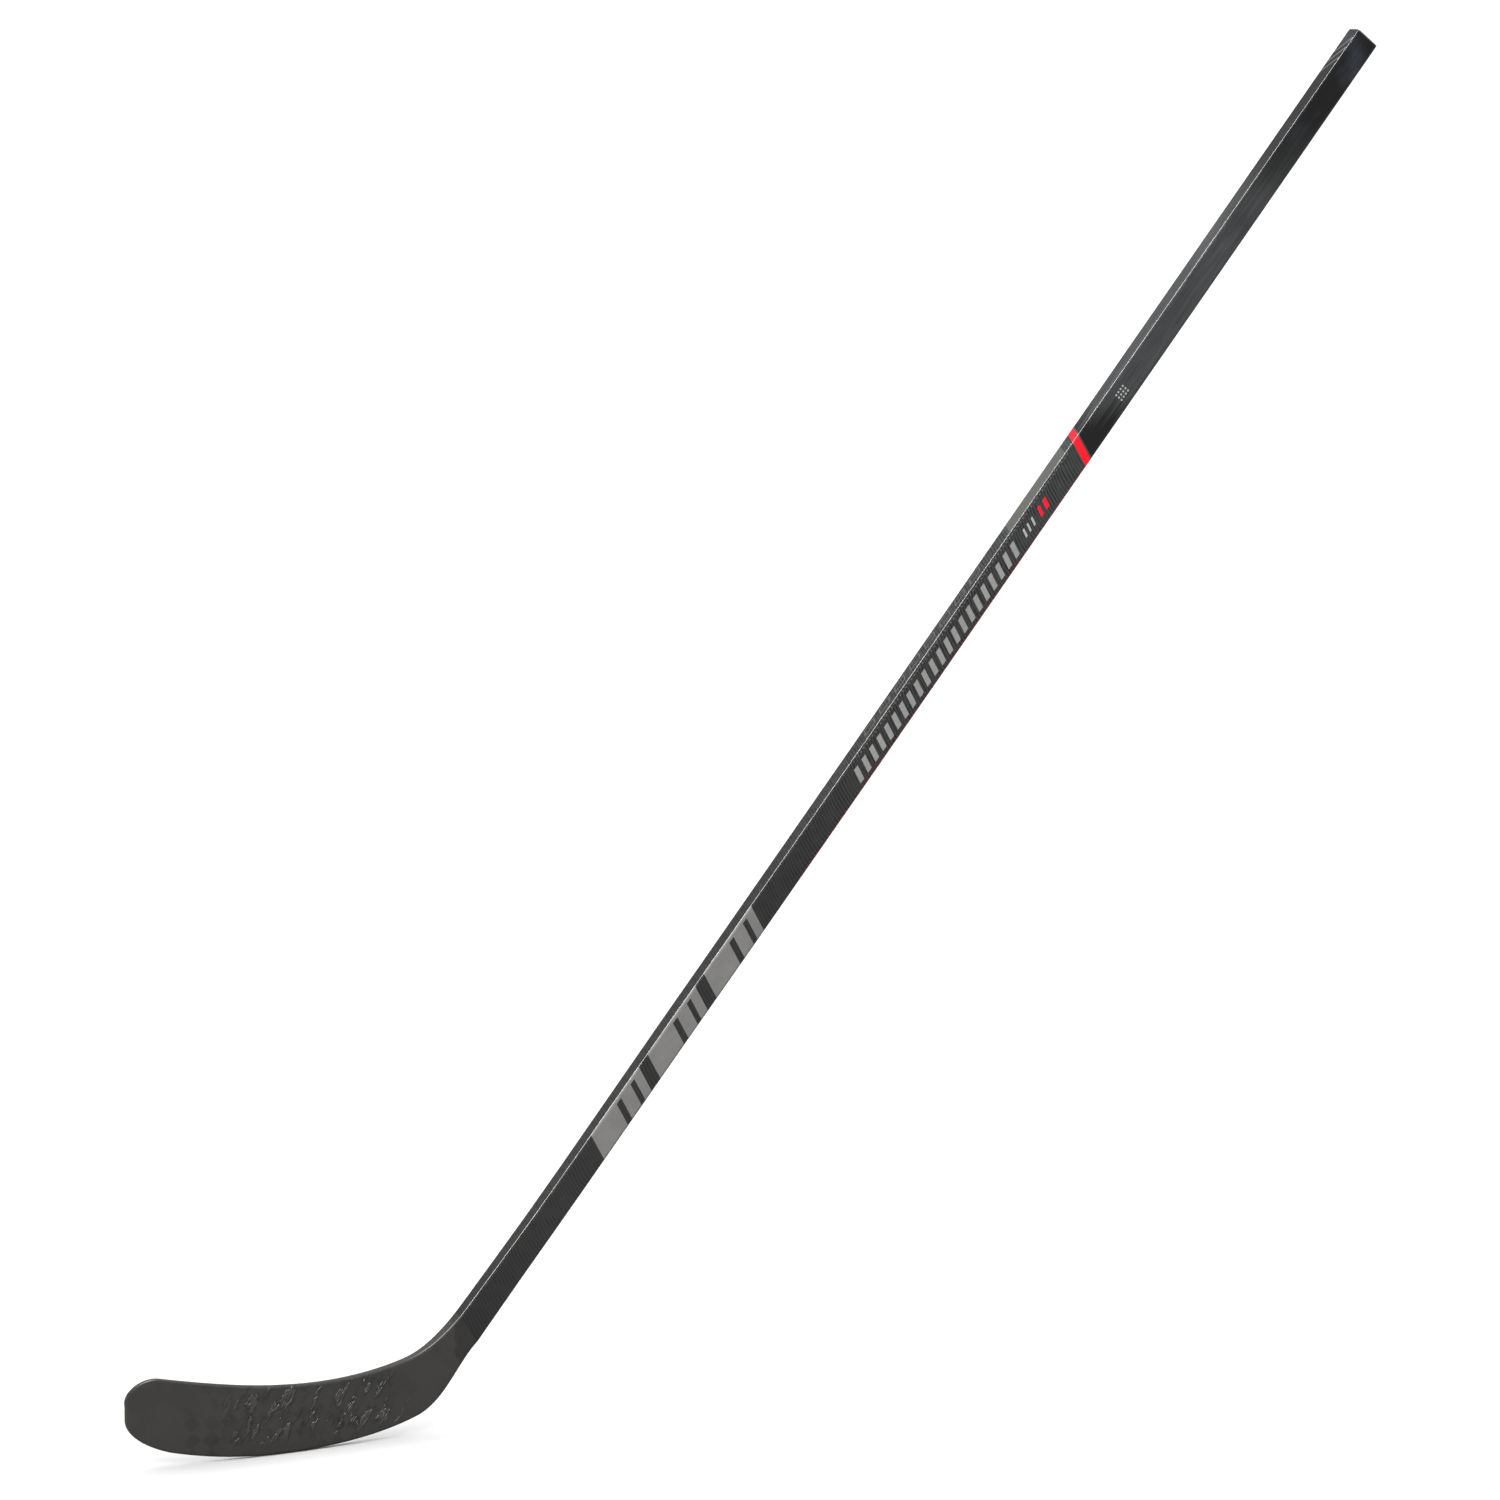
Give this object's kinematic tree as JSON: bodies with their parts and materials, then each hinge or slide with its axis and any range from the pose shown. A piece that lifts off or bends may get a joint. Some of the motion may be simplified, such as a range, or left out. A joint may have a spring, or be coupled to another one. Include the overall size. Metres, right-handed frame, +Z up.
{
  "type": "ice hockey stick",
  "caption": "Left-handed one-piece composite ice hockey stick: hollow rounded-rectangle shaft with butt plug, tapering into a thin curved foam-core blade, in playing pose.",
  "frame": {"origin": "the point of the blade's sole that touches the ice", "axes": "+X along the ice from the toe towards the shaft, +Z up, the blade's face curves towards +Y; the shaft rises at a 49 degree lie"},
  "size_m": [1.2955, 0.0464, 1.2094],
  "materials": {
    "shaft_tube": "satin clear-coated carbon",
    "butt_plug": "satin moulded plastic",
    "hosel_core": "moulded composite",
    "blade_skin": "matt carbon",
    "blade_edge_wrap": "matt carbon",
    "blade_rib": "carbon",
    "foam": "structural foam",
    "red_band": "printed film",
    "grey_band": "printed film",
    "silver_block": "silver printed film",
    "slant_bars": "silver printed film",
    "light_mark": "printed film",
    "red_mark": "printed film",
    "side_panel": "metallic printed film",
    "zigzag_line": "printed film",
    "red_pinstripe": "printed film"
  },
  "bodies": {
    "root": {"shaft_tube": "shaft_tube", "butt_plug": "butt_plug", "hosel_core": "hosel_core", "blade_backhand_skin": "blade_skin", "blade_forehand_skin": "blade_skin", "blade_edge_wrap": "blade_edge_wrap", "blade_rib": "blade_rib", "foam_core_upper": "foam", "foam_core_lower": "foam", "red_band": "red_band", "grey_band": "grey_band", "slant_bars": "slant_bars", "light_mark": "light_mark", "red_mark": "red_mark", "side_panel": "side_panel", "zigzag_line": "zigzag_line", "red_pinstripe": "red_pinstripe", "silver_block_lower_backhand": "silver_block", "silver_block_lower_forehand": "silver_block", "silver_block_middle_backhand": "silver_block", "silver_block_middle_forehand": "silver_block", "silver_block_upper_backhand": "silver_block", "silver_block_upper_forehand": "silver_block"}
  },
  "joints": []
}
